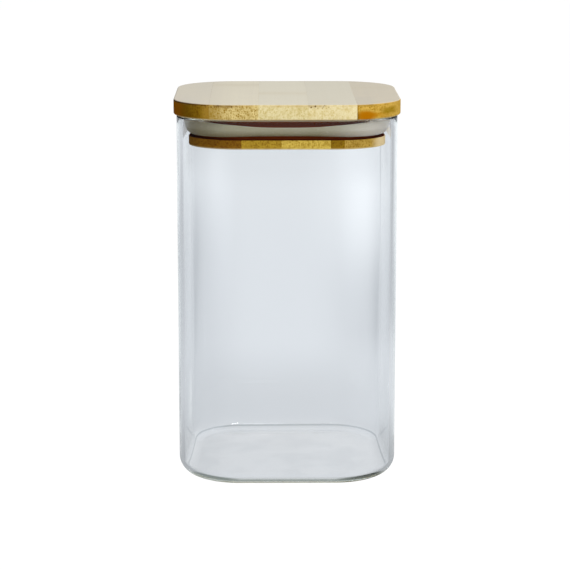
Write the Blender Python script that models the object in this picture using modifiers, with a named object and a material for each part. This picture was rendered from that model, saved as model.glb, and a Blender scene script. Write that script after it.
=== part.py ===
"""Square glass storage jar with a push-in lid of laminated bamboo and a silicone seal.

Lengths are in metres. The jar stands on the plane z = 0 with the middle of its underside at the
origin. The lid's staves run from the front, at -Y, to the back, at +Y.
"""

import math

import bmesh
import bpy
import numpy as np

# Glass jar: blown to an even wall, with a rounded heel and a fire-polished rim
JAR_WIDTH = 0.100
JAR_HEIGHT = 0.1673
JAR_CORNER_RADIUS = 0.0285
JAR_HEEL_RADIUS = 0.0083
JAR_WALL = 0.0024
RIM_ROUNDING_SHARE = 0.4  # of the wall

# Top board of the lid, which overhangs the rim
BOARD_OVERHANG = 0.0012
BOARD_THICKNESS = 0.0069
BOARD_ARRIS = 0.0007
BOARD_CORNER_SHARE = 0.965  # of the jar's corner radius
BOARD_SEAM_SHARES = (-0.678, -0.252, 0.178, 0.598)  # of the board's half width, from its middle

# Plug of the lid: a flange at the foot, and a neck above it that carries the seal
PLUG_DEPTH = 0.0137
PLUG_CLEARANCE = 0.0031
FLANGE_THICKNESS = 0.0041
PLUG_ARRIS = 0.0004
GROOVE_DEPTH = 0.0025
PLUG_SEAM_SHARES = (-0.458, -0.061, 0.431, 0.569)  # of the plug's half width, from its middle

# Silicone seal: a band round the neck, and a lip that flares out to the glass
SEAL_FOOT_SHARE = 0.19  # of the groove's height, below the seal
SEAL_BAND_SHARE = 0.26  # of the groove's height
SEAL_BAND_WIDTH_SHARE = 0.36  # of the way from the neck to the glass
LIP_RISE_SHARE = 0.42  # of the groove's height, in the middle of a side
LIP_CORNER_SHARE = 0.20  # of the groove's height, added at the corners
LIP_ROOT_THICKNESS = 0.0009
LIP_TIP_THICKNESS = 0.0005
LIP_FLARE_POWER = 1.8

# Gaps that keep neighbouring pieces apart
SEAT_GAP = 0.0003
GLUE_LINE = 0.0003
SEAL_GAP = 0.0003

OVERRUN = 0.004
LEVEL_SHARE = 0.001  # of the overrun, within which two levels are the same

# Facets of the rounded stretches
CORNER_STEPS = 16
HEEL_STEPS = 8
RIM_STEPS = 3
ARRIS_STEPS = 2
SIDE_STEPS = 8
LIP_STEPS = 6
RIM_ANGLE = math.radians(60)
SMOOTH_ANGLE = math.radians(35)

# Sizes and levels that follow from these
jar_half = JAR_WIDTH / 2
inside_half = jar_half - JAR_WALL
inside_corner = JAR_CORNER_RADIUS - JAR_WALL
board_half = jar_half + BOARD_OVERHANG
board_corner = JAR_CORNER_RADIUS * BOARD_CORNER_SHARE
plug_half = inside_half - PLUG_CLEARANCE
plug_corner = inside_corner - PLUG_CLEARANCE
neck_half = plug_half - GROOVE_DEPTH
neck_corner = plug_corner - GROOVE_DEPTH
lid_level = JAR_HEIGHT + SEAT_GAP
neck_top = -GLUE_LINE
flange_top = FLANGE_THICKNESS - PLUG_DEPTH
groove_height = neck_top - flange_top


def linear(red, green, blue):
    """Scene-linear colour of a display colour given in 0 to 255."""
    display = np.array((red, green, blue)) / 255
    return (*np.where(display > 0.04045, ((display + 0.055) / 1.055) ** 2.4, display / 12.92), 1)


def finish(name, colour, roughness, transmission=0.0):
    """Material of one piece."""
    material = bpy.data.materials.new(name)
    material.use_nodes = True
    shader = material.node_tree.nodes["Principled BSDF"]
    shader.inputs["Base Color"].default_value = linear(*colour)
    shader.inputs["Roughness"].default_value = roughness
    shader.inputs["Metallic"].default_value = 0.0
    shader.inputs["Transmission Weight"].default_value = transmission
    material.diffuse_color = linear(*colour)
    return material


def clear_scene():
    """Remove every object of the startup scene."""
    for old in list(bpy.data.objects):
        bpy.data.objects.remove(old, do_unlink=True)


def new_collection(name):
    """Collection of that name in the scene."""
    collection = bpy.data.collections.new(name)
    bpy.context.scene.collection.children.link(collection)
    return collection


def box_shape(low, high):
    """Closed box between two opposite corners."""
    shape = bmesh.new()
    bmesh.ops.create_cube(shape, size=1)
    bmesh.ops.scale(shape, vec=np.subtract(high, low), verts=shape.verts)
    bmesh.ops.translate(shape, vec=np.add(low, high) / 2, verts=shape.verts)
    return shape


def round_edges(shape, edges, radius, steps):
    """Round the given edges of a shape."""
    bmesh.ops.bevel(
        shape,
        geom=edges,
        offset=radius,
        offset_type="OFFSET",
        segments=steps,
        profile=0.5,
        affect="EDGES",
    )


def level_edges(shape, level):
    """Edges of a shape that lie in the horizontal plane at that level."""
    near = OVERRUN * LEVEL_SHARE
    return [edge for edge in shape.edges if all(abs(end.co.z - level) < near for end in edge.verts)]


def highest_face(shape):
    """Face of a shape whose middle is highest."""
    return max(shape.faces, key=lambda face: face.calc_center_median().z)


def square_block(half, corner, bottom, top):
    """Upright square block with its four upright edges rounded."""
    shape = box_shape((-half, -half, bottom), (half, half, top))
    level = level_edges(shape, bottom) + level_edges(shape, top)
    upright = [edge for edge in shape.edges if edge not in level]
    round_edges(shape, upright, corner, CORNER_STEPS)
    return shape


def add_object(shape, name, collection, parent=None):
    """Turn a shape into an object, shaded smooth over its rounded stretches."""
    mesh = bpy.data.meshes.new(name)
    shape.to_mesh(mesh)
    shape.free()
    mesh.shade_smooth()
    mesh.set_sharp_from_angle(angle=SMOOTH_ANGLE)
    made = bpy.data.objects.new(name, mesh)
    collection.objects.link(made)
    made.parent = parent
    return made


def glass_jar(collection):
    """One-piece jar: the outer skin, open at the mouth, thickened inwards and rounded at the rim."""
    skin = square_block(jar_half, JAR_CORNER_RADIUS, 0, JAR_HEIGHT)
    round_edges(skin, level_edges(skin, 0), JAR_HEEL_RADIUS, HEEL_STEPS)
    bmesh.ops.delete(skin, geom=[highest_face(skin)], context="FACES_ONLY")
    jar = add_object(skin, "glass_jar", collection)
    wall = jar.modifiers.new("wall", "SOLIDIFY")
    wall.thickness = JAR_WALL
    wall.offset = -1
    wall.use_even_offset = True
    rim = jar.modifiers.new("rim", "BEVEL")
    rim.width = JAR_WALL * RIM_ROUNDING_SHARE
    rim.segments = RIM_STEPS
    rim.limit_method = "ANGLE"
    rim.angle_limit = RIM_ANGLE
    jar.data.materials.append(finish("clear_glass", (232, 238, 240), 0.02, transmission=1.0))
    return jar


def board_blank():
    """The lid's top board before it is divided: its underside is the lid's zero level."""
    blank = square_block(board_half, board_corner, 0, BOARD_THICKNESS)
    for level in (0, BOARD_THICKNESS):
        round_edges(blank, level_edges(blank, level), BOARD_ARRIS, ARRIS_STEPS)
    return blank


def plug_blank():
    """The plug before it is divided: a flange, whose top is inset and drawn up into the neck."""
    blank = square_block(plug_half, plug_corner, -PLUG_DEPTH, flange_top)
    for level in (-PLUG_DEPTH, flange_top):
        round_edges(blank, level_edges(blank, level), PLUG_ARRIS, ARRIS_STEPS)
    top = highest_face(blank)
    bmesh.ops.inset_region(blank, faces=[top], thickness=GROOVE_DEPTH - PLUG_ARRIS, use_even_offset=True)
    drawn = bmesh.ops.extrude_discrete_faces(blank, faces=[top])["faces"]
    bmesh.ops.translate(blank, vec=(0, 0, groove_height), verts=drawn[0].verts)
    return blank


def cut_into_staves(blank, stem, half, seam_shares, colours, lid, parts, cutters):
    """Divide a board at its glue lines: each stave keeps the blank's stretch inside its own box."""
    low_level = min(vert.co.z for vert in blank.verts) - OVERRUN
    high_level = max(vert.co.z for vert in blank.verts) + OVERRUN
    reach = half + OVERRUN
    seams = [half * share for share in seam_shares]
    starts = [-reach] + [seam + GLUE_LINE / 2 for seam in seams]
    ends = [seam - GLUE_LINE / 2 for seam in seams] + [reach]
    for number, (start, end, colour) in enumerate(zip(starts, ends, colours), 1):
        name = f"{stem}_{number}"
        box = box_shape((start, -reach, low_level), (end, reach, high_level))
        keeper = add_object(box, name + "_keeper", cutters, lid)
        keeper.hide_render = True
        keeper.display_type = "WIRE"
        stave = add_object(blank.copy(), name, parts, lid)
        cut = stave.modifiers.new("glue_lines", "BOOLEAN")
        cut.operation = "INTERSECT"
        cut.object = keeper
        stave.data.materials.append(finish(name + "_bamboo", colour, 0.55))
    blank.free()


def rounded_outline(half, corner):
    """Points and outward normals round a square outline with round corners, anticlockwise."""
    arc = np.linspace(0, math.pi / 2, CORNER_STEPS + 1)
    arc_normals = np.column_stack((np.cos(arc), np.sin(arc)))
    arc_points = (half - corner) + corner * arc_normals
    run = np.linspace(1, -1, SIDE_STEPS + 1)[1:-1, None]
    side_points = np.hstack((run * (half - corner), np.full_like(run, half)))
    side_normals = np.tile((0.0, 1.0), (len(run), 1))
    quarter_points = np.vstack((arc_points, side_points))
    quarter_normals = np.vstack((arc_normals, side_normals))
    quarter_turn = np.array(((0, 1), (-1, 0)))
    turns = [np.linalg.matrix_power(quarter_turn, count) for count in range(4)]
    points = np.vstack([quarter_points @ turn for turn in turns])
    normals = np.vstack([quarter_normals @ turn for turn in turns])
    return points, normals


def seal_section(rise):
    """Closed section of the seal, as distances out from the neck and heights above the seal's foot.

    Each face of the lip leaves the band and climbs as the same power of its way out to the tip, the
    outer face from the band's foot and the inner one from the lip's root thickness above it.
    """
    reach = inside_half - SEAL_GAP - neck_half
    band_out = SEAL_GAP + (reach - SEAL_GAP) * SEAL_BAND_WIDTH_SHARE
    band_high = groove_height * SEAL_BAND_SHARE
    along = np.linspace(0, 1, LIP_STEPS + 1)
    climb = along**LIP_FLARE_POWER
    outer = np.column_stack((band_out + (reach - band_out) * along, rise * climb))
    inner_reach = reach - LIP_TIP_THICKNESS
    inner_climb = LIP_ROOT_THICKNESS + (rise - LIP_ROOT_THICKNESS) * climb
    inner = np.column_stack((band_out + (inner_reach - band_out) * along, inner_climb))[::-1]
    band = ((band_out, band_high), (SEAL_GAP, band_high), (SEAL_GAP, 0))
    return np.vstack((outer, inner, band))


def silicone_seal(collection, lid):
    """Ring lofted through its changing section: the lip's tip is lowest at the middle of each side."""
    outline, normals = rounded_outline(neck_half, neck_corner)
    bearing = np.arctan2(outline[:, 1], outline[:, 0])
    lift = LIP_CORNER_SHARE * np.sin(2 * bearing) ** 4
    rises = groove_height * (LIP_RISE_SHARE + lift)
    foot = flange_top + groove_height * SEAL_FOOT_SHARE
    shape = bmesh.new()
    rings = []
    for point, normal, rise in zip(outline, normals, rises):
        section = seal_section(rise)
        places = np.column_stack((point + section[:, :1] * normal, foot + section[:, 1]))
        rings.append([shape.verts.new(place) for place in places])
    for ring, after in zip(rings, rings[1:] + rings[:1]):
        for corners in zip(ring, after, after[1:] + after[:1], ring[1:] + ring[:1]):
            shape.faces.new(corners)
    seal = add_object(shape, "silicone_seal", collection, lid)
    seal.data.materials.append(finish("silicone", (196, 192, 180), 0.45))
    return seal


def build():
    """Assemble the jar, the lid's two boards and the seal."""
    clear_scene()
    parts = new_collection("square_storage_jar")
    cutters = new_collection("cutters")
    cutters.hide_render = True
    lid = bpy.data.objects.new("lid_lift_axis", None)
    lid.location = (0, 0, lid_level)
    parts.objects.link(lid)
    glass_jar(parts)
    board_colours = ((184, 150, 84), (206, 184, 122), (216, 201, 148), (216, 199, 144), (196, 146, 62))
    cut_into_staves(
        board_blank(), "board_stave", board_half, BOARD_SEAM_SHARES, board_colours, lid, parts, cutters
    )
    plug_colours = ((170, 142, 70), (170, 138, 56), (180, 153, 74), (140, 108, 32), (178, 148, 84))
    cut_into_staves(
        plug_blank(), "plug_stave", plug_half, PLUG_SEAM_SHARES, plug_colours, lid, parts, cutters
    )
    silicone_seal(parts, lid)


build()
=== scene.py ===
"""A square storage jar of clear glass with a laminated bamboo lid, dressed for its portrait."""

import math

import bmesh
import bpy
import numpy as np
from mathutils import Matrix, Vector


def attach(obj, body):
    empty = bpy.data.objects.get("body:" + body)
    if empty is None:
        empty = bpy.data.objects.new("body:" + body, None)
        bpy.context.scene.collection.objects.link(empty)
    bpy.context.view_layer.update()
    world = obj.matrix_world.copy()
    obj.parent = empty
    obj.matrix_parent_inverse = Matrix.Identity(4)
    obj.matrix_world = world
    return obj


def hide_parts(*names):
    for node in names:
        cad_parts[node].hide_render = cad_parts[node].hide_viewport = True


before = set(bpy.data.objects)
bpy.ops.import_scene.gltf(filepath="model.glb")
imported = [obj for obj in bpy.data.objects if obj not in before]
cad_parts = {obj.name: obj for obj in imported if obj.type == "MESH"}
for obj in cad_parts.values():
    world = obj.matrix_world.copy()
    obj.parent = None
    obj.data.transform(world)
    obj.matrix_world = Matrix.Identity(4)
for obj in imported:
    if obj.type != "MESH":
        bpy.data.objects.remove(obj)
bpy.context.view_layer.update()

# The glass jar
# One piece of borosilicate glass, blown into a square mould with round corners. The wall is even,
# the heel is rounded, and the rim was melted round in a flame. It stands on a ring round its push-up.
JAR_HALF = 0.0500
JAR_CORNER = 0.0285
JAR_TALL = 0.1673
JAR_WALL = 0.0024
JAR_HEEL = 0.0083
JAR_FLOOR = 0.0024
JAR_INNER_HEEL = 0.0052
JAR_RIM = 0.0011
PUSH_UP = 0.0006
WAVE_HEIGHT = 0.00002
WAVES = ((3, 38, 0.0), (5, -61, 1.7), (2, 97, 0.6))
CALM_RIM = 0.02
CALM_HEEL = 0.03
CORNER_POINTS = 40
SIDE_POINTS = 24
UNDERSIDE_POINTS = 12
CLIMB_POINTS = 34
ROUND_POINTS = 17
GLASS_TINT = (0.975, 0.98, 0.985)
GLASS_DEPTH = (0.60, 0.72, 0.68)
GLASS_DENSITY = 4.0
GLASS_BEND = 1.47
SOFT_LIGHT = (0.985, 0.985, 0.985)
# A painted dark line round the inner heel, standing in for the dark edge that the bent glass shows there.
SHADE_LINE_HIGH = 0.0039
SHADE_LINE_WIDE = 0.0004
SHADE_LINE_START = 0.0003
SHADE_LINE_END = (0.0060, 0.0070)
SHADE_LINE_TINT = (0.52, 0.56, 0.58)
# Faint darker patches painted on the floor inside the heel, as painted reflection of cloudy light.
REFLECTION_PATCH_SCALE = 55.0
REFLECTION_PATCH_START = (0.0070, 0.0090)
REFLECTION_PATCH_TINT = (0.88, 0.892, 0.905)
RIM_CORNER = (0.034, 0.042)
RIM_CLEAR = 0.7
# A pale matt line painted along the top of the rim as its painted highlight, fainter at the corners.
RIM_HIGHLIGHT_SHARE = 0.34
RIM_HIGHLIGHT_LOST = 0.7
RIM_HIGHLIGHT_PALE = (0.82, 0.73, 0.55)


class Wire:
    """A socket of a material. Arithmetic on wires adds Math nodes, and node() adds any other one."""

    def __init__(self, tree, socket=None):
        self.tree = tree
        self.socket = socket

    def node(self, kind, settings=None, values=None, output=0):
        """Add a node: its settings first, then the values or links of its sockets.

        A colour is given as red, green and blue, and gets its alpha here.
        """
        made = self.tree.nodes.new("ShaderNode" + kind)
        for name, setting in (settings or {}).items():
            setattr(made, name, setting)
        for name, value in (values or {}).items():
            into = made.inputs[name]
            if isinstance(value, Wire):
                self.tree.links.new(value.socket, into)
            elif into.type == "RGBA":
                into.default_value = (*value, 1)
            else:
                into.default_value = value
        return Wire(self.tree, made.outputs[output] if made.outputs else None)

    def math(self, operation, *values):
        """A Math node on this socket and the given values."""
        inputs = dict(enumerate((self, *values)))
        return self.node("Math", {"operation": operation}, inputs)

    def __abs__(self):
        return self.math("ABSOLUTE")

    def __add__(self, other):
        return self.math("ADD", other)

    __radd__ = __add__

    def __mul__(self, other):
        return self.math("MULTIPLY", other)

    __rmul__ = __mul__

    def __sub__(self, other):
        return self.math("SUBTRACT", other)

    def __rsub__(self, other):
        return (self * -1).math("ADD", other)

    def __pow__(self, other):
        return self.math("POWER", other)

    def axes(self):
        """The x, y and z of this vector."""
        split = self.node("SeparateXYZ", None, {0: self}).socket.node
        return [Wire(self.tree, socket) for socket in split.outputs]

    def band(self, low, high, to_low=0.0, to_high=1.0):
        """This value carried smoothly from one range to another, and held at its ends."""
        limits = {0: self, 1: low, 2: high, 3: to_low, 4: to_high}
        return self.node("MapRange", {"interpolation_type": "SMOOTHSTEP"}, limits)

    def mix(self, first, second):
        """One colour turning into another as this value goes from 0 to 1."""
        pair = {0: self, 6: first, 7: second}
        return self.node("Mix", {"data_type": "RGBA"}, pair, output=2)


def new_finish(name):
    """An empty material, as (material, wire to build on)."""
    material = bpy.data.materials.new(name)
    material.use_nodes = True
    material.node_tree.nodes.clear()
    return material, Wire(material.node_tree)


def show(wire, surface, volume=None):
    """End a material at its output."""
    wire.node("OutputMaterial", None, {"Surface": surface, **({"Volume": volume} if volume else {})})


def grid_quads(rows, columns, closed):
    """Quads between the points of a grid, numbered row by row. A closed grid joins its two end columns."""
    row = np.arange(rows - 1)[:, None] * columns
    column = np.arange(columns if closed else columns - 1)[None, :]
    after = (column + 1) % columns
    corners = (row + column, row + after, row + columns + after, row + columns + column)
    return np.stack(corners, -1).reshape(-1, 4)


def add_piece(name, points, quads, material, sharp=35):
    """A closed piece from points and quads: doubles merged, faces turned outwards, shaded smooth."""
    mesh = bpy.data.meshes.new(name)
    mesh.from_pydata(np.asarray(points).reshape(-1, 3).tolist(), [], np.asarray(quads).tolist())
    shape = bmesh.new()
    shape.from_mesh(mesh)
    bmesh.ops.remove_doubles(shape, verts=shape.verts, dist=1e-7)
    bmesh.ops.dissolve_degenerate(shape, edges=shape.edges, dist=1e-7)
    bmesh.ops.recalc_face_normals(shape, faces=shape.faces)
    shape.to_mesh(mesh)
    shape.free()
    mesh.shade_smooth()
    mesh.set_sharp_from_angle(angle=math.radians(sharp))
    mesh.materials.append(material)
    piece = bpy.data.objects.new(name, mesh)
    bpy.context.scene.collection.objects.link(piece)
    return piece


def square_loop(half, corner):
    """Points round a square with round corners, and their outward normals.

    A quarter of it is an arc and the side after it, and the rest is that quarter turned three times.
    """
    arc = np.linspace(0, math.pi / 2, CORNER_POINTS + 1)
    arc_normal = np.column_stack((np.cos(arc), np.sin(arc)))
    arc_point = half - corner + corner * arc_normal
    run = np.linspace(1, -1, SIDE_POINTS + 1)[1:-1, None]
    side_point = np.hstack((run * (half - corner), np.full_like(run, half)))
    side_normal = np.tile((0.0, 1.0), (len(run), 1))
    points = np.vstack((arc_point, side_point))
    normals = np.vstack((arc_normal, side_normal))
    turn = np.array(((0, 1), (-1, 0)))
    turns = [np.linalg.matrix_power(turn, count) for count in range(4)]
    return np.vstack([points @ t for t in turns]), np.vstack([normals @ t for t in turns])


def jar_profile():
    """Section of the glass as rows of inset from the outer face, height, and share of the way out.

    Out along the underside, up round the heel, up the wall, over the rim as half an ellipse, down
    the inside, and back in along the floor, which is as thick as the wall. The share is of the way
    out from the middle.
    """
    out = np.linspace(0, 1, UNDERSIDE_POINTS)[:-1]
    underside = np.column_stack((np.full_like(out, JAR_HEEL), PUSH_UP * (1 - out**2) ** 2, out))
    quarter = np.linspace(0, math.pi / 2, ROUND_POINTS)
    inwards = 1 - np.sin(quarter)
    upwards = 1 - np.cos(quarter)
    whole = np.ones_like(quarter)
    heel = np.column_stack((JAR_HEEL * inwards, JAR_HEEL * upwards, whole))
    climb = np.linspace(JAR_HEEL, JAR_TALL - JAR_RIM, CLIMB_POINTS)[1:-1]
    wall = np.column_stack((np.zeros_like(climb), climb, np.ones_like(climb)))
    half_turn = np.linspace(0, math.pi, ROUND_POINTS)
    across = JAR_WALL / 2 * (1 - np.cos(half_turn))
    over = JAR_TALL - JAR_RIM * (1 - np.sin(half_turn))
    rim = np.column_stack((across, over, whole))
    inner_wall = wall[::-1] + (JAR_WALL, 0, 0)
    bend = JAR_INNER_HEEL
    inner_heel = np.column_stack((JAR_WALL + bend * upwards, JAR_FLOOR + bend * inwards, whole))
    floor = underside[::-1] + (JAR_WALL + bend - JAR_HEEL, JAR_FLOOR, 0)
    return np.vstack((underside, heel, wall, rim, inner_wall, inner_heel, floor))


def jar_surface():
    """The section carried round the square: the outer loop, moved in along its normal by the inset.

    The inside swells and thins by less than a tenth of a millimetre, as sines of the bearing and the
    height. These waves die away at the rim, are faint at the heel, and fade towards the middle of the
    floor.
    """
    loop, normal = square_loop(JAR_HALF, JAR_CORNER)
    inset, height, share = jar_profile().T[..., None]
    bearing = np.arctan2(loop[:, 1], loop[:, 0])
    half_way = np.arange(len(inset))[:, None] > np.argmax(height)
    fade = half_way * np.clip((JAR_TALL - height) / CALM_RIM, 0, 1) * np.clip(height / CALM_HEEL, 0.2, 1)
    fade = fade * np.where(share < 1, 5 * share**2, 1)
    wave = sum(np.sin(round_it * bearing + up * height + start) for round_it, up, start in WAVES)
    wave = wave * WAVE_HEIGHT * fade
    flat = (loop[None] - (inset + wave)[..., None] * normal[None]) * share[..., None]
    return np.concatenate((flat, (height + wave * (share < 1))[..., None]), -1)


def past_straight(side):
    """How far a coordinate reaches past the straight run of the jar's side, for materials."""
    return abs(side).math("SUBTRACT", JAR_HALF - JAR_CORNER).math("MAXIMUM", 0.0)


def square_inset(x, y):
    """How far inside the jar's outer face a point is, for materials.

    It is the corner's radius less the distance that the point reaches past the straight runs.
    """
    across = past_straight(x)
    along = past_straight(y)
    return JAR_CORNER - (across * across + along * along).math("SQRT")


def glass():
    """Clear glass with a faint cool tint, deeper where it is seen edge on.

    Soft light goes straight through it. A thin painted dark line runs round the inner heel, standing in
    for the dark edge that the bent glass shows there, and the floor inside it has faint painted patches
    of cloudy reflection. Most light goes straight through the rim on its straight runs, and a thin
    painted highlight lies pale on top of it, fainter at the corners.
    """
    material, wire = new_finish("clear_glass")
    place = wire.node("TexCoord", output="Object")
    x, y, z = place.axes()
    inset = square_inset(x, y)
    # Painted dark line round the inner heel, where the bent glass shows a dark edge.
    shade_line = abs(z - SHADE_LINE_HIGH).band(SHADE_LINE_WIDE * 0.4, SHADE_LINE_WIDE * 1.1, 1.0, 0.0)
    shade_line = shade_line * inset.band(JAR_WALL, JAR_WALL + SHADE_LINE_START) * inset.band(*SHADE_LINE_END, 1.0, 0.0)
    # Painted reflection: faint darker patches on the floor inside the heel.
    reflection_patches = wire.node("TexNoise", None, {"Vector": place, "Scale": REFLECTION_PATCH_SCALE, "Detail": 3.0})
    reflection_patches = reflection_patches.band(0.42, 0.62) * z.band(JAR_FLOOR * 0.6, JAR_FLOOR * 0.8) * inset.band(*REFLECTION_PATCH_START)
    reflection_patches = reflection_patches * z.band(JAR_FLOOR * 1.5, JAR_FLOOR * 2, 1.0, 0.0)
    tint = shade_line.mix(reflection_patches.mix(GLASS_TINT, REFLECTION_PATCH_TINT), SHADE_LINE_TINT)
    settings = {"Base Color": tint, "Roughness": 0.0, "IOR": GLASS_BEND, "Transmission Weight": 1.0}
    body = wire.node("BsdfPrincipled", None, settings)
    through = wire.node("BsdfTransparent", None, {"Color": SOFT_LIGHT})
    shadow = wire.node("LightPath", output="Is Shadow Ray")
    bounce = wire.node("LightPath", output="Is Diffuse Ray")
    corner = abs(x).band(*RIM_CORNER) * abs(y).band(*RIM_CORNER)
    rim = z.band(JAR_TALL - JAR_RIM * 1.2, JAR_TALL - JAR_RIM * 0.8, 0.0, RIM_CLEAR) * (1 - corner)
    straight_through = shadow.math("MAXIMUM", bounce).math("MAXIMUM", rim)
    clear = wire.node("MixShader", None, {0: straight_through, 1: body, 2: through})
    # Painted highlight: a pale matt line along the top of the rim.
    pale = wire.node("BsdfPrincipled", None, {"Base Color": RIM_HIGHLIGHT_PALE, "Roughness": 0.5})
    rim_highlight = z.band(JAR_TALL - JAR_RIM * 0.55, JAR_TALL - JAR_RIM * 0.25, 0.0, RIM_HIGHLIGHT_SHARE)
    rim_highlight = rim_highlight * (1 - corner * RIM_HIGHLIGHT_LOST)
    depth = wire.node("VolumeAbsorption", None, {"Color": GLASS_DEPTH, "Density": GLASS_DENSITY})
    show(wire, wire.node("MixShader", None, {0: rim_highlight, 1: clear, 2: pale}), depth)
    return material


surface = jar_surface()
jar = add_piece("jar_glass", surface, grid_quads(*surface.shape[:2], closed=True), glass())
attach(jar, "jar")
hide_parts("glass_jar")

# The bamboo staves
# Strips sawn from the wall of the cane and glued edge to edge into two boards, with their grain from
# front to back. The plug is cut in above its flange, to a narrower neck on which the seal sits.
BOARD_HALF = 0.0512
BOARD_CORNER = 0.0275
BOARD_LOW = 0.1676
BOARD_HIGH = 0.1745
BOARD_ARRIS = 0.0007
BOARD_SEAMS = (-0.0347, -0.0129, 0.0091, 0.0306)
PLUG_HALF = 0.0445
PLUG_CORNER = 0.0230
PLUG_LOW = 0.1539
PLUG_HIGH = 0.1673
FLANGE_HIGH = 0.1580
PLUG_ARRIS = 0.0004
PLUG_GROOVE = 0.0025
PLUG_SEAMS = (-0.0204, -0.0027, 0.0192, 0.0253)
SEAM_GAP = 0.000003
SEAM_ARRIS = 0.00001
EDGE_POINTS = 40
DEEP_POINTS = 24
ARRIS_POINTS = 6
WANDER_SCALE = 28.0
WANDER_REACH = 0.0012
BUNDLE_SCALE = 1000.0
BUNDLE_SWAY = 0.09
SPECK_SCALE = 2100.0
MOTTLE_SCALE = 620.0
STREAK_SCALE = 420.0
SCRATCH_SCALE = 3800.0
TONE_SCALE = 110.0
FINE_STEPS = 2.17
RELIEF_HEIGHT = 0.00006
# Colour of the sanded top face, paled further as painted sheen.
SANDED_SHEEN = (0.545, 0.512, 0.412)
SANDED_SHEEN_DEEP = 0.0004
KNUCKLE_BROWN = (0.44, 0.37, 0.21)
# Painted shade on the plug's neck in the groove, darkest just above the flange.
GROOVE_SHADE = (0.215, 0.032, 0.001)
GROOVE_SHADE_DARK = (0.080, 0.012, 0.001)
FLANGE_WORN = (0.70, 0.58, 0.30)
# Painted glare on the plug's right end.
GLARE_PALE = (0.74, 0.60, 0.36)


def edge_depth(x, half, corner):
    """Distance from the middle to the front edge of a round-cornered square, at each x."""
    past = np.clip(np.abs(x) - (half - corner), 0, corner)
    return half - corner + np.sqrt(corner**2 - past**2)


def stave_loop(low, high, half, corner):
    """Plan of one stave as a loop: its front edge, right side, back edge and left side."""
    sweep = 0.5 - 0.5 * np.cos(np.linspace(0, math.pi, EDGE_POINTS + 1))
    x = low + (high - low) * sweep
    deep = edge_depth(x, half, corner)
    run = np.linspace(-1, 1, DEEP_POINTS + 1)[1:-1]
    front = np.column_stack((x, -deep))
    right = np.column_stack((np.full_like(run, high), run * deep[-1]))
    left = np.column_stack((np.full_like(run, low), -run * deep[0]))
    return np.vstack((front, right, front[::-1] * (1, -1), left))


def stave_surface(low, high, half, corner, profile):
    """A stave: its plan carried up a profile of inset, seam inset and height, with a grid over each end.

    An edge on the board's outline moves in by the inset, and an edge on a seam by the seam inset.
    """
    rings = []
    for inset, seam_inset, height in profile:
        outer = half - inset
        left = -outer if low <= -half else low + seam_inset
        right = outer if high >= half else high - seam_inset
        plan = stave_loop(left, right, outer, corner - inset)
        rings.append(np.column_stack((plan, np.full(len(plan), height))))
    wall = np.stack(rings)
    points = [wall.reshape(-1, 3)]
    quads = [grid_quads(*wall.shape[:2], closed=True)]
    for ring in (wall[0], wall[-1]):
        front = ring[: EDGE_POINTS + 1]
        back = front * (1, -1, 1)
        share = np.linspace(0, 1, DEEP_POINTS + 1)[:, None, None]
        cap = front + (back - front) * share
        quads.append(grid_quads(DEEP_POINTS + 1, EDGE_POINTS + 1, closed=False) + sum(map(len, points)))
        points.append(cap.reshape(-1, 3))
    return np.vstack(points), np.vstack(quads)


def rounded_run(bottom, top, arris):
    """Profile of an upright edge between two levels, with a quarter round at its lower and upper arris."""
    quarter = np.linspace(0, math.pi / 2, ARRIS_POINTS)
    inwards = 1 - np.sin(quarter)
    low = np.column_stack((arris * inwards, SEAM_ARRIS * inwards, bottom + arris * (1 - np.cos(quarter))))
    high = low[::-1] * (1, 1, -1) + (0, 0, bottom + top)
    return np.vstack((low, high))


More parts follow.
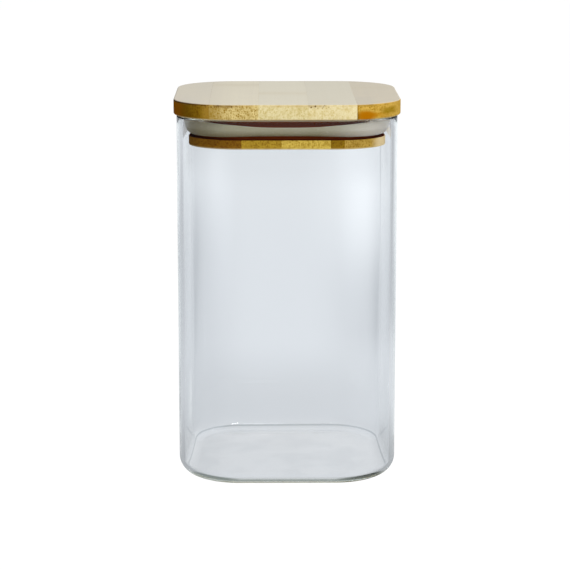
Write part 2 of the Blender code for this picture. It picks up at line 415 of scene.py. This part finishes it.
def bamboo(name, pale, deep, shift, stain, sanded_and_sheen=1.0, knuckle=None):
    """Oiled bamboo, with its fibre bundles along Y: dots on the end grain, and fine streaks on the faces.

    pale is the pith between the bundles and deep is a bundle. shift moves the pattern from stave to
    stave, stain(x, y, z, tone, dots) gives masks and colours of stains, the sanded value is how light
    the top face is painted, as sanded wood paled further by painted sheen, and knuckle is where along
    Y a joint of the cane crosses it.
    """
    material, wire = new_finish(name)
    place = wire.node("TexCoord", output="Object")
    x, y, z = place.axes()
    wander = wire.node("TexNoise", None, {"Vector": place, "Scale": WANDER_SCALE, "Detail": 1.0})
    across = x + wander * WANDER_REACH + shift
    section = wire.node("CombineXYZ", None, {0: across, 1: z * 0.8})
    flat_cells = {"voronoi_dimensions": "2D", "feature": "F1"}
    coarse = {"Vector": section, "Scale": BUNDLE_SCALE}
    bundles = wire.node("TexVoronoi", flat_cells, coarse, output="Distance")
    each = wire.node("SeparateColor", None, {0: wire.node("TexVoronoi", flat_cells, coarse, output="Color")})
    sway = wire.node("CombineXYZ", None, {0: across, 1: y + each * BUNDLE_SWAY, 2: z})
    along = wire.node("Mapping", None, {"Vector": sway, "Scale": (1, 0.015, 0.75)})
    fine = wire.node("TexVoronoi", flat_cells, {"Vector": section, "Scale": SPECK_SCALE}, output="Distance")
    grain = {"Vector": along, "Scale": STREAK_SCALE, "Detail": 5.0, "Lacunarity": FINE_STEPS}
    streaks = wire.node("TexNoise", None, grain)
    clouds = {"Vector": place, "Scale": TONE_SCALE, "Detail": 4.0, "Lacunarity": FINE_STEPS}
    tone = wire.node("TexNoise", None, clouds)
    facing = wire.node("TexCoord", output="Normal").axes()
    end_grain = abs(facing[1]).band(0.2, 0.8)
    flat_grain = abs(facing[2]).band(0.3, 0.9)
    dots = bundles.band(0.10, 0.42, 1.0, 0.0) * each.band(0.1, 0.9, 0.2, 1.0)
    specks = fine.band(0.10, 0.40, 1.0, 0.0)
    patches = {"Vector": section, "Scale": MOTTLE_SCALE, "Detail": 2.0}
    mottle = wire.node("TexNoise", {"noise_dimensions": "2D"}, patches)
    depth = (dots * 0.70 + specks * 0.42) * (0.22 + end_grain * 0.78)
    depth = depth + mottle.band(0.48, 0.66) * end_grain * 0.30
    depth = depth + streaks.band(0.38, 0.68) * (0.14 + 0.10 * (1 - flat_grain)) + tone.band(0.35, 0.7) * 0.20
    if knuckle is not None:
        bow = abs(y - knuckle + (x * 260).math("SINE") * 0.0006)
        knot = bow.band(0.0003, 0.0016, 0.30, 0.0) + bow.band(0.002, 0.011, 0.22, 0.0)
        depth = depth + knot * flat_grain
    colour = depth.math("MINIMUM", 1.0).mix(pale, deep)
    for mask, stained in stain(x, y, z, tone, dots):
        colour = mask.math("MINIMUM", 1.0).mix(colour, stained)
    # The top face is painted pale and grey: sanded wood, with painted sheen of the light on it.
    top = flat_grain * z.band(BOARD_HIGH - SANDED_SHEEN_DEEP, BOARD_HIGH - SANDED_SHEEN_DEEP / 4)
    colour = (top * 0.80).mix(colour, [part * sanded_and_sheen for part in SANDED_SHEEN])
    if knuckle is not None:
        colour = (knot * top * tone.band(0.3, 0.6, 0.5, 1.0)).mix(colour, KNUCKLE_BROWN)
    sanding = {"Vector": along, "Scale": SCRATCH_SCALE, "Detail": 2.0, "Lacunarity": FINE_STEPS}
    scratches = wire.node("TexNoise", None, sanding)
    height = scratches * 0.5 - dots * 0.8 + streaks * 0.4
    relief = wire.node("Bump", None, {"Strength": 0.35, "Distance": RELIEF_HEIGHT, "Height": height})
    settings = {
        "Base Color": colour,
        "Roughness": 0.62 + dots * 0.10 + tone * 0.12 - top * 0.24,
        "Specular IOR Level": 0.0,
        "Coat Weight": top * 0.8,
        "Coat Roughness": 0.28,
        "Normal": relief,
    }
    show(wire, wire.node("BsdfPrincipled", None, settings))
    return material


def add_staves(stem, seams, half, corner, profile, tones):
    """One piece for each stave of a board, between its seams."""
    sides = (-half, *seams, half)
    for number, (low, high, tone) in enumerate(zip(sides, sides[1:], tones), 1):
        left = low if low <= -half else low + SEAM_GAP / 2
        right = high if high >= half else high - SEAM_GAP / 2
        points, quads = stave_surface(left, right, half, corner, profile)
        slot, *finish = tone
        stave = add_piece(f"{stem}_{number}_bamboo", points, quads, bamboo(f"{stem}_{number}", *finish))
        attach(stave, "lid")
        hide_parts(f"{stem}_{number}")


def glare_end(x, y, z, tone, dots):
    """The plug's right end is painted pale, as painted glare near the glass."""
    # Painted glare: the right end made pale.
    yield (x + tone * 0.002).band(0.0375, 0.0425, 0.0, 0.75), GLARE_PALE
    yield from shade_in_groove(x, y, z, tone, dots)


def shade_in_groove(x, y, z, tone, dots):
    """Painted shade in the plug's groove, darkest just above the flange, and the flange's lower arris, worn
    pale.
    """
    # Painted shade on the neck and the flange's top in the groove.
    groove = z.band(FLANGE_HIGH - 0.00008, FLANGE_HIGH)
    yield groove, GROOVE_SHADE
    yield groove * z.band(FLANGE_HIGH, FLANGE_HIGH + 0.001, 1.0, 0.0), GROOVE_SHADE_DARK
    yield z.band(PLUG_LOW + 0.0002, PLUG_LOW + 0.0008, 0.45, 0.0), FLANGE_WORN


plug_profile = np.vstack(
    (
        rounded_run(PLUG_LOW, FLANGE_HIGH, PLUG_ARRIS),
        ((PLUG_GROOVE, 0, FLANGE_HIGH), (PLUG_GROOVE, 0, PLUG_HIGH)),
    )
)
PLUG_TONES = (
    ("bamboo_honey", (0.22, 0.10, 0.006), (0.10, 0.035, 0.002), 0.013, shade_in_groove),
    ("bamboo_honey", (0.42, 0.27, 0.025), (0.20, 0.10, 0.006), 0.027, shade_in_groove),
    ("bamboo_honey", (0.64, 0.46, 0.085), (0.28, 0.16, 0.010), 0.041, shade_in_groove),
    ("bamboo_dark", (0.27, 0.15, 0.006), (0.13, 0.06, 0.003), 0.055, shade_in_groove),
    ("bamboo_honey", (0.46, 0.30, 0.060), (0.22, 0.12, 0.010), 0.071, glare_end),
)
add_staves("plug_stave", PLUG_SEAMS, PLUG_HALF, PLUG_CORNER, plug_profile, PLUG_TONES)

# The stains and painted light of the top board
# Marks of the cane and of handling, with painted light: brown skin at the first corner deepened by
# painted shade, rows of dark fibre ends under the top face, a painted highlight on the lower arris
# and dirt on the upper one, and an orange streak with an olive patch on the last stave.
# Painted highlight on the board's lower arris.
LOW_ARRIS_LIT = (0.66, 0.50, 0.23)
LOW_ARRIS_HIGHLIGHT = (0.74, 0.59, 0.34)
EDGE_DIRT = (0.36, 0.22, 0.06)
FIBRE_DARK = (0.10, 0.045, 0.006)
SKIN_HONEY = (0.36, 0.21, 0.030)
# Brown of the cane's skin, deepened as painted shade of the left corner.
SKIN_BROWN_AND_SHADE = (0.125, 0.058, 0.002)
SKIN_RED_AND_SHADE = (0.25, 0.080, 0.003)
SKIN_DIRT = (0.06, 0.024, 0.002)
PITH_BROWN = (0.30, 0.175, 0.018)
OLIVE = (0.23, 0.135, 0.003)
STREAK_X = 0.0345
STREAK_Z = 0.1699
STREAK_ORANGE = (0.33, 0.115, 0.001)
TAIL_AMBER = (0.38, 0.175, 0.005)
LAST_SEAM = BOARD_SEAMS[-1]
SEAM_BROWN = (0.20, 0.10, 0.004)
SEAM_DARK = (0.16, 0.08, 0.003)
SOFT_DIRT = (0.24, 0.14, 0.02)


def under_top(z, start, full, fading, end):
    """A line on an edge, by how far below the top face it starts, is full, fades and ends."""
    below = z.band(BOARD_HIGH - start, BOARD_HIGH - full)
    return below * z.band(BOARD_HIGH - fading, BOARD_HIGH - end, 1.0, 0.0)


def lit_and_dirty_edges(z, tone):
    """The board's lower arris, painted pale as a painted highlight, and its upper one, a little darker with
    dirt.
    """
    # Painted highlight on the lower arris.
    yield z.band(BOARD_LOW + 0.0002, BOARD_LOW + 0.0006, 0.50, 0.0), LOW_ARRIS_LIT
    yield z.band(BOARD_LOW + 0.00002, BOARD_LOW + 0.0002, 0.9, 0.0), LOW_ARRIS_HIGHLIGHT
    yield under_top(z, 0.0014, 0.0006, 0.0003, 0.0) * tone.band(0.35, 0.65, 0.10, 0.45), EDGE_DIRT


def top_specks(x, z, tone, dots, centre, reach):
    """Dark fibre ends in a row just under the top face, thickest around one place."""
    near = abs(x - centre).band(reach * 0.3, reach, 1.0, 0.0)
    row = under_top(z, 0.0020, 0.0007, 0.0004, 0.0001) * near
    return row * (dots * 1.6 + tone.band(0.45, 0.65, 0.0, 0.5)), FIBRE_DARK


def skin_and_shaded_corner(x, y, z, tone, dots):
    """The first stave's front corner, cut near the skin of the cane, is reddish brown, deepened by painted
    shade where it turns away from the light.
    """
    front = y.band(-0.030, -0.006, 1.0, 0.0)
    yield (x + tone * 0.004).band(-0.0375, -0.0340, 0.0, 0.6) * front, SKIN_HONEY
    # Skin brown with painted shade, darkest at the far left.
    yield (x + tone * 0.006).band(-0.0440, -0.0340, 0.85, 0.0) * front, SKIN_BROWN_AND_SHADE
    yield (x + tone * 0.004).band(-0.0480, -0.0420, 0.9, 0.0) * front, SKIN_RED_AND_SHADE
    yield from lit_and_dirty_edges(z, tone)
    dirt = under_top(z, 0.0013, 0.0005, 0.0002, 0.0)
    yield dirt * x.band(-0.0440, -0.0340, 0.9, 0.0) * front, SKIN_DIRT
    yield top_specks(x, z, tone, dots, -0.0345, 0.008)


def fibre_row_left(x, y, z, tone, dots):
    """The second stave is darker towards the first, with a row of dark fibre ends at its top edge."""
    yield (x + tone * 0.006).band(-0.035, -0.019, 0.88, 0.0), PITH_BROWN
    yield from lit_and_dirty_edges(z, tone)
    yield top_specks(x, z, tone, dots, -0.0310, 0.012)


def plain_pith(x, y, z, tone, dots):
    """The middle stave is clean."""
    yield from lit_and_dirty_edges(z, tone)


def fibre_row_right(x, y, z, tone, dots):
    """The fourth stave has a few dark fibre ends by its left seam."""
    yield from lit_and_dirty_edges(z, tone)
    yield top_specks(x, z, tone, dots, 0.0125, 0.008)


def amber_streak(x, y, z, tone, dots):
    """The last stave's orange streak in the lower half of its front end, and an olive patch beside it."""
    front = y.band(-0.030, -0.010, 1.0, 0.0)
    warp = tone * 0.0012
    middle = abs(z - 0.1716 + warp).band(0.0006, 0.0020, 1.0, 0.0)
    patch = abs(x + tone * 0.004 - 0.0472).band(0.0010, 0.0052, 0.8, 0.0)
    yield middle * patch * front, OLIVE
    yield from lit_and_dirty_edges(z, tone)
    tail = abs(z - 0.1708 + warp + (x - 0.0350) * 0.12).band(0.0003, 0.0015, 0.85, 0.0)
    tail = tail * x.band(0.0370, 0.0475, 1.0, 0.0) * x.band(0.0310, 0.0330)
    yield tail * front, TAIL_AMBER
    across = (x - STREAK_X) * 220
    up = (z - STREAK_Z + warp) * 480
    blob = (across * across + up * up).band(0.1, 1.7, 1.0, 0.0)
    yield blob * front, STREAK_ORANGE
    yield x.band(LAST_SEAM, LAST_SEAM + 0.0010, 0.55, 0.0) * front, SEAM_BROWN
    low_half = z.band(0.1698, 0.1716, 1.0, 0.0)
    yield x.band(LAST_SEAM, LAST_SEAM + 0.0014, 0.9, 0.0) * low_half * front, SEAM_DARK
    near = abs(x - STREAK_X).band(0.001, 0.007, 0.5, 0.0)
    yield near * z.band(BOARD_HIGH - 0.0016, BOARD_HIGH - 0.0006) * front, SOFT_DIRT


BOARD_TONES = (
    ("bamboo_honey", (0.26, 0.148, 0.008), (0.11, 0.045, 0.002), 0.003, skin_and_shaded_corner, 0.965),
    ("bamboo_straw", (0.66, 0.53, 0.23), (0.25, 0.15, 0.018), 0.017, fibre_row_left, 0.93, 0.032),
    ("bamboo_pale", (0.64, 0.56, 0.325), (0.46, 0.36, 0.135), 0.029, plain_pith, 0.88, -0.004),
    ("bamboo_pale", (0.64, 0.555, 0.325), (0.50, 0.39, 0.155), 0.043, fibre_row_right, 0.80),
    ("bamboo_amber", (0.53, 0.335, 0.065), (0.26, 0.14, 0.007), 0.059, amber_streak, 0.755, 0.021),
)
board_profile = rounded_run(BOARD_LOW, BOARD_HIGH, BOARD_ARRIS)
add_staves("board_stave", BOARD_SEAMS, BOARD_HALF, BOARD_CORNER, board_profile, BOARD_TONES)

# The silicone seal
# A moulded ring, stretched round the plug's neck. Its one lip flares out to the glass, and its tip
# stands lowest in the middle of each side, because the ring is drawn tighter at the corners.
SEAL_FOOT = 0.1598
SEAL_NECK = 0.0420
SEAL_NECK_CORNER = 0.0205
SEAL_GAP = 0.0003
SEAL_BAND_OUT = 0.0021
SEAL_BAND_HIGH = 0.0024
LIP_REACH = 0.0053
LIP_RISE = 0.0039
LIP_CORNER_RISE = 0.0020
LIP_CORNER_SAG = 0.0006
LIP_ROOT = 0.0009
LIP_TIP = 0.0005
LIP_FLARE = 1.8
LIP_POINTS = 25
TIP_POINTS = 7
DUST_SCALE = 900.0
CLOUD_SCALE = 90.0
MILK_DEEP = 0.0042
# Painted shade low down and at the left end, painted light at the right end and on the tip.
MILK_LOW_SHADED = (0.17, 0.133, 0.064)
MILK_HIGH = (0.325, 0.303, 0.20)
MILK_LEFT_SHADED = (0.155, 0.115, 0.035)
MILK_RIGHT_LIT = (0.66, 0.61, 0.56)
DUST_PALE = (0.55, 0.53, 0.48)
TIP_HIGHLIGHT = (0.52, 0.48, 0.42)
SKIN_RELIEF = 0.00004
SKIN_DEPTH = (0.0022, 0.0018, 0.0013)


def side_by_side(*parts):
    """Arrays of matching shapes as the last axis of one array."""
    return np.stack(np.broadcast_arrays(*parts), -1)


def seal_section(corner):
    """Section for each share of the way to a corner, as (out, up).

    Each face of the lip climbs as one power of its way out to the tip. Towards a corner the tip
    stands higher, and the foot of the outer face sags by the square of its way from the tip.
    """
    way = np.linspace(0, 1, LIP_POINTS)
    climb = way**LIP_FLARE
    rise = LIP_RISE + LIP_CORNER_RISE * corner[:, None]
    sag = LIP_CORNER_SAG * corner[:, None] * (1 - way) ** 2
    out_face = side_by_side(SEAL_BAND_OUT + (LIP_REACH - SEAL_BAND_OUT) * way, rise * climb - sag)
    over = np.linspace(0, math.pi, TIP_POINTS)[1:-1]
    tip = side_by_side(LIP_REACH - LIP_TIP / 2 * (1 - np.cos(over)), rise + LIP_TIP / 2 * np.sin(over))
    in_way = SEAL_BAND_OUT + (LIP_REACH - LIP_TIP - SEAL_BAND_OUT) * way
    in_face = side_by_side(in_way, LIP_ROOT + (rise - LIP_ROOT) * climb)[:, ::-1]
    band = np.array(((SEAL_BAND_OUT, SEAL_BAND_HIGH), (SEAL_GAP, SEAL_BAND_HIGH), (SEAL_GAP, 0.0)))
    band = np.broadcast_to(band, (len(rise), 3, 2))
    return np.concatenate((out_face, tip, in_face, band), 1)


def seal_surface():
    """The section carried round the neck, and back to its start.

    The corner share is the fourth power of the sine of twice the bearing.
    """
    loop, normal = square_loop(SEAL_NECK, SEAL_NECK_CORNER)
    bearing = np.arctan2(loop[:, 1], loop[:, 0])
    section = seal_section(np.sin(2 * bearing) ** 4)
    flat = loop[:, None] + section[..., :1] * normal[:, None]
    ring = np.concatenate((flat, SEAL_FOOT + section[..., 1:]), -1)
    return np.concatenate((ring, ring[:1]))


def silicone():
    """Milky silicone with a satin skin.

    It is browner low down, where it lies against the wood, and darker there as painted shade. Its
    left end is darker with painted shade, its right end whiter with painted light, and the faces
    that look up carry a painted highlight.
    """
    material, wire = new_finish("silicone")
    place = wire.node("TexCoord", output="Object")
    across, _, height = place.axes()
    dust = wire.node("TexNoise", None, {"Vector": place, "Scale": DUST_SCALE, "Detail": 4.0})
    cloud = wire.node("TexNoise", None, {"Vector": place, "Scale": CLOUD_SCALE, "Detail": 2.0})
    # Darker and browner low down as painted shade, painted shade on the left end, painted light on the right
    # end.
    milk_and_shade = (height + cloud * 0.0012).band(SEAL_FOOT, SEAL_FOOT + MILK_DEEP)
    colour = milk_and_shade.mix(MILK_LOW_SHADED, MILK_HIGH)
    colour = across.band(-0.046, -0.025, 0.80, 0.0).mix(colour, MILK_LEFT_SHADED)
    colour = across.band(0.010, 0.048, 0.0, 0.64).mix(colour, MILK_RIGHT_LIT)
    colour = dust.band(0.55, 0.8, 0.0, 0.25).mix(colour, DUST_PALE)
    # Painted highlight on the faces that look up.
    upward = wire.node("TexCoord", output="Normal").axes()[2]
    colour = upward.band(0.1, 0.8, 0.0, 0.6).mix(colour, TIP_HIGHLIGHT)
    relief = wire.node("Bump", None, {"Strength": 0.2, "Distance": SKIN_RELIEF, "Height": dust})
    settings = {
        "Base Color": colour,
        "Roughness": 0.38 + dust * 0.15,
        "Subsurface Weight": 0.35,
        "Subsurface Radius": SKIN_DEPTH,
        "Subsurface Scale": 1.0,
        "Normal": relief,
    }
    show(wire, wire.node("BsdfPrincipled", None, settings))
    return material


surface = seal_surface()
seal = add_piece("seal_ring", surface, grid_quads(*surface.shape[:2], closed=True), silicone())
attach(seal, "lid")
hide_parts("silicone_seal")

# The studio
# A broad light table under a soft sky that is darker on the left, a key lamp in front on the right,
# and two small lamps high in front that glint in the glass. The camera is a little above the lid.
CAMERA_PLACE = (-0.01017, -0.99466, 0.28156)
CAMERA_AIM = (-0.00071, 0.0, 0.08381)
CAMERA_LENS = 136.37
KEY_PLACE = (0.34, -1.07, 0.75)
KEY_AIM = (0.0, 0.0, 0.12)
GLINT_PLACE = (0.27, -0.66, 1.15)
GLINT_AIM = (0.0, 0.0, 0.05)
SLIT_PLACE = (-0.035, -0.66, 1.15)
SLIT_AIM = (-0.02, 0.0, 0.0)
SLIT_DEEP = 0.30
GLASS_BOUNCES = 96
FLOOR_HALF = 12.0
FLOOR_LEVEL = -0.0001
FLOOR_WHITE = (1.04, 1.04, 1.04)
FLOOR_MATT = (0.9, 0.9, 0.9)
FLOOR_MATT_SHARE = 0.12
BEARING_FROM = 0.55
TABLE_UNDER = (0.77, 0.805, 0.845)
TABLE_NEAR = (0.70, 0.73, 0.765)
TABLE_MIDDLE = (0.825, 0.86, 0.90)
TABLE_FAR = (0.845, 0.88, 0.915)
TABLE_BRIGHT = (0.96, 1.00, 1.04)
TABLE_EDGE = (0.56, 0.59, 0.625)
TABLE_GRAZING = (0.50, 0.525, 0.555)
MIRROR_FRONT = (0.42, 0.44, 0.46)
MIRROR_DARK = (0.03, 0.03, 0.035)
MIRROR_SIDE = (0.54, 0.565, 0.60)
MIRROR_LIT = (1.45, 1.5, 1.55)
MIRROR_LIT_PLACE = (0.72, -0.50)
HEEL_LIGHT = (0.68, 0.71, 0.72)
HEEL_SHADE = (0.20, 0.23, 0.215)
HEEL_SHADE_RIGHT = (0.02, 0.025, 0.012)
PIPED = (0.50, 0.53, 0.52)
PIPED_CORNER = (1.15, 1.18, 1.20)
PIPED_TURNS = 4.5


def table_glow(x, y):
    """Light of the table as it comes through the glass, and as rays see it that the wall turned back.

    It grows with the way behind the jar, and is brightest on the right. By bearing from a point in
    front of the jar it falls off to both sides, where the glass bends the view furthest.
    """
    near = y.band(0.035, 0.060).math("MAXIMUM", abs(x).band(0.0, 0.030, 0.55, 0.0))
    glow = near.mix(TABLE_UNDER, TABLE_NEAR)
    glow = y.band(0.10, 0.26).mix(glow, TABLE_MIDDLE)
    glow = y.band(0.45, 1.15).mix(glow, TABLE_FAR)
    right = x.math("DIVIDE", y + BEARING_FROM)
    glow = (right.band(0.01, 0.065) * y.band(0.40, 0.75)).mix(glow, TABLE_BRIGHT)
    aside = abs(right)
    behind = y.band(-0.10, -0.055)
    edge = aside.band(0.015, 0.085, 0.0, 0.50) + aside.band(0.075, 0.125, 0.0, 0.50)
    edge = edge * y.band(0.50, 0.95, 1.0, 0.2) * y.band(0.12, 0.30, 0.80, 1.0)
    edge = edge * (1 - right.band(0.0, 0.05) * y.band(0.35, 0.60, 0.0, 0.6))
    glow = (edge * behind).mix(glow, TABLE_EDGE)
    glow = (x.band(0.01, 0.05) * y.band(0.18, 0.30, 0.5, 0.0)).mix(glow, TABLE_MIDDLE)
    grazing = y.band(0.08, 0.20, 0.5, 1.0) * x.band(-0.05, 0.05, 0.6, 1.0) * behind
    turned_back = (grazing * aside.band(0.27, 0.48)).mix(glow, TABLE_GRAZING)
    return (grazing * aside.band(0.18, 0.25)).mix(glow, TABLE_GRAZING), turned_back


def table_mirror(x, y, turned_back):
    """The table as a mirror image in the glass: dim in front, lit on the right, dark far out."""
    mirror = abs(x).band(0.08, 0.30).mix(MIRROR_FRONT, MIRROR_SIDE)
    away = ((x - MIRROR_LIT_PLACE[0]) ** 2 + (y - MIRROR_LIT_PLACE[1]) ** 2).math("SQRT")
    mirror = away.band(0.02, 0.70, 1.0, 0.0).mix(mirror, MIRROR_LIT)
    mirror = y.band(-0.02, 0.10).mix(mirror, turned_back)
    reach = (x * x + y * y).math("SQRT")
    return (reach.band(0.92, 1.12) * y.band(0.35, 0.60, 1.0, 0.0)).mix(mirror, MIRROR_DARK)


def shade_heel(x, y, turns, glow):
    """The jar's own shade on the table, in a band under the front heel and strongest when mirrored."""
    inset = square_inset(x, y)
    band = inset.band(0.0018, 0.0028) * inset.band(0.0081, 0.0087, 1.0, 0.0)
    band = band * y.band(-0.034, -0.022, 1.0, 0.0) * turns.band(0.4, 0.6, 0.25, 1.0)
    shade = x.band(0.018, 0.042).mix(HEEL_SHADE, HEEL_SHADE_RIGHT)
    deep = inset + past_straight(x) * past_straight(y) * 14
    shade = deep.band(0.0038, 0.0076).mix(HEEL_LIGHT, shade)
    return band.mix(glow, shade)


def add_floor():
    """A light table, white to the eye. Seen through the glass it is grey, as the photograph's backdrop was.

    Rays that the glass has mirrored see the table's mirror image, and those mirrored five times or
    more, which run round inside the wall, see a level of their own that is brighter at the corners.
    """
    material, wire = new_finish("light_table")
    seen = wire.node("LightPath", output="Is Camera Ray")
    turns = wire.node("LightPath", output="Glossy Depth")
    x, y, _ = wire.node("TexCoord", output="Object").axes()
    glow, turned_back = table_glow(x, y)
    glow = turns.math("GREATER_THAN", 0.5).mix(glow, table_mirror(x, y, turned_back))
    glow = shade_heel(x, y, turns, glow)
    piped = abs(x).band(0.025, 0.040).mix(PIPED, PIPED_CORNER)
    glow = turns.math("GREATER_THAN", PIPED_TURNS).mix(glow, piped)
    light = wire.node("Emission", None, {"Color": glow})
    white = wire.node("Emission", None, {"Color": FLOOR_WHITE})
    matt = wire.node("BsdfDiffuse", None, {"Color": FLOOR_MATT})
    table = wire.node("MixShader", None, {0: FLOOR_MATT_SHARE, 1: white, 2: matt})
    show(wire, wire.node("MixShader", None, {0: seen, 1: light, 2: table}))
    corners = np.array(((-1, -1), (1, -1), (1, 1), (-1, 1))) * FLOOR_HALF
    mesh = bpy.data.meshes.new("floor")
    mesh.from_pydata([(*corner, FLOOR_LEVEL) for corner in corners], [], [(0, 1, 2, 3)])
    mesh.materials.append(material)
    floor = bpy.data.objects.new("floor", mesh)
    bpy.context.scene.collection.objects.link(floor)


def add_sky():
    """Soft light from all round: dark on the left, bright overhead and on the right, grey behind."""
    world = bpy.data.worlds.new("studio")
    world.use_nodes = True
    world.node_tree.nodes.clear()
    wire = Wire(world.node_tree)
    x, y, z = wire.node("TexCoord", output="Generated").axes()
    side = x.band(-0.8, 0.5, 0.12, 0.95)
    level = side + z.band(0.3, 0.9, 0.0, 0.35) + y.band(0.3, 0.9, 0.0, 0.08)
    glow = wire.node("Background", None, {"Color": (1, 1, 1), "Strength": level})
    wire.node("OutputWorld", None, {"Surface": glow})
    bpy.context.scene.world = world


def turned_to(place, aim):
    """The rotation that points a lamp or a camera from its place to a point."""
    return (Vector(aim) - Vector(place)).to_track_quat("-Z", "Y").to_euler()


def add_lamp(name, place, aim, width, power):
    """A square soft lamp that faces a point."""
    lamp = bpy.data.lights.new(name, "AREA")
    lamp.size = width
    lamp.energy = power
    placed = bpy.data.objects.new(name, lamp)
    placed.location = place
    placed.rotation_euler = turned_to(place, aim)
    bpy.context.scene.collection.objects.link(placed)
    return placed


add_floor()
add_sky()
key = add_lamp("key_lamp", KEY_PLACE, KEY_AIM, width=0.42, power=8)
key.visible_glossy = False
key.visible_transmission = False
add_lamp("glint_lamp", GLINT_PLACE, GLINT_AIM, width=0.34, power=3.5)
slit = add_lamp("slit_lamp", SLIT_PLACE, SLIT_AIM, width=0.09, power=0.2)
slit.data.shape = "RECTANGLE"
slit.data.size_y = SLIT_DEEP
bpy.context.scene.view_settings.view_transform = "Standard"
bpy.context.scene.cycles.max_bounces = GLASS_BOUNCES
bpy.context.scene.cycles.glossy_bounces = GLASS_BOUNCES
bpy.context.scene.cycles.transmission_bounces = GLASS_BOUNCES

camera = bpy.data.cameras.new("camera")
camera.lens = CAMERA_LENS
camera.sensor_width = 36.0
camera.clip_end = 100.0
viewpoint = bpy.data.objects.new("camera", camera)
viewpoint.location = CAMERA_PLACE
viewpoint.rotation_euler = turned_to(CAMERA_PLACE, CAMERA_AIM)
bpy.context.scene.collection.objects.link(viewpoint)
bpy.context.scene.camera = viewpoint
